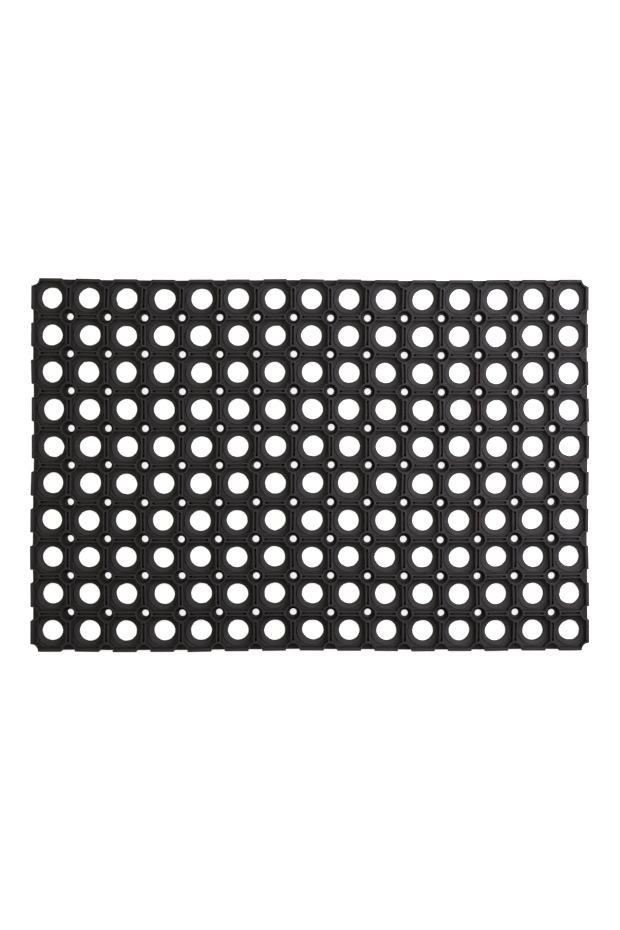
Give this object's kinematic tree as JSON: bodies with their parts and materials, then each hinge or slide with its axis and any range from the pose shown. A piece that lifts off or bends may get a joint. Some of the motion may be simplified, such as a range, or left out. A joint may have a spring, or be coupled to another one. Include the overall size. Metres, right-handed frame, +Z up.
{
  "type": "rubber ring door mat",
  "caption": "Rectangular black rubber scraper mat: an open lattice of twin ribs with a short tube on each crossing, round drain holes between them and a notched border.",
  "frame": {"origin": "centre of the footprint at floor level, on the plane of the feet's undersides", "axes": "+X along the long side, +Y along the short side, +Z up from the floor to the rib tops"},
  "size_m": [0.6, 0.4004, 0.022],
  "materials": {
    "rubber": "matte, fine moulded grain"
  },
  "bodies": {
    "root": {"corner_tubes": "rubber", "cross_bars_row_01": "rubber", "cross_bars_row_02": "rubber", "cross_bars_row_03": "rubber", "cross_bars_row_04": "rubber", "cross_bars_row_05": "rubber", "cross_bars_row_06": "rubber", "cross_bars_row_07": "rubber", "cross_bars_row_08": "rubber", "cross_bars_row_09": "rubber", "cross_bars_row_10": "rubber", "crossing_tubes_row_01": "rubber", "crossing_tubes_row_02": "rubber", "crossing_tubes_row_03": "rubber", "crossing_tubes_row_04": "rubber", "crossing_tubes_row_05": "rubber", "crossing_tubes_row_06": "rubber", "crossing_tubes_row_07": "rubber", "crossing_tubes_row_08": "rubber", "crossing_tubes_row_09": "rubber", "end_bars_left": "rubber", "end_bars_right": "rubber", "half_tubes_back": "rubber", "half_tubes_front": "rubber", "half_tubes_left": "rubber", "half_tubes_right": "rubber", "hole_collars_row_01": "rubber", "hole_collars_row_02": "rubber", "hole_collars_row_03": "rubber", "hole_collars_row_04": "rubber", "hole_collars_row_05": "rubber", "hole_collars_row_06": "rubber", "hole_collars_row_07": "rubber", "hole_collars_row_08": "rubber", "hole_collars_row_09": "rubber", "hole_collars_row_10": "rubber", "lengthwise_bar_01": "rubber", "lengthwise_bar_02": "rubber", "lengthwise_bar_03": "rubber", "lengthwise_bar_04": "rubber", "lengthwise_bar_05": "rubber", "lengthwise_bar_06": "rubber", "lengthwise_bar_07": "rubber", "lengthwise_bar_08": "rubber", "lengthwise_bar_09": "rubber", "side_bar_back": "rubber", "side_bar_front": "rubber"}
  },
  "joints": []
}
